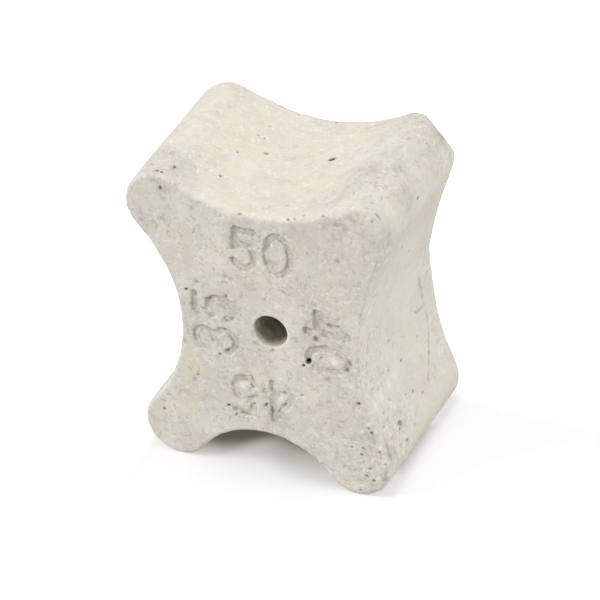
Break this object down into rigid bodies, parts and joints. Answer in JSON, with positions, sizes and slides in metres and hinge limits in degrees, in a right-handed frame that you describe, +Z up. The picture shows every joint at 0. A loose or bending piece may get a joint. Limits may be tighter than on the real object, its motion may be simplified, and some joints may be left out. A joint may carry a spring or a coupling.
{
  "type": "concrete rebar spacer",
  "caption": "Cast concrete block with rounded lobes and a hollow bar seat on each side, a tie-wire hole through it and cover numbers in its face.",
  "frame": {"origin": "on the floor, under the middle of the block's bounding box", "axes": "+X to the right of the numbered face, +Y from the numbered front face to the back, +Z up"},
  "size_m": [0.044, 0.029, 0.0537],
  "materials": {
    "concrete": "matte cast surface with pinholes"
  },
  "bodies": {
    "root": {"spacer_block": "concrete"}
  },
  "joints": []
}
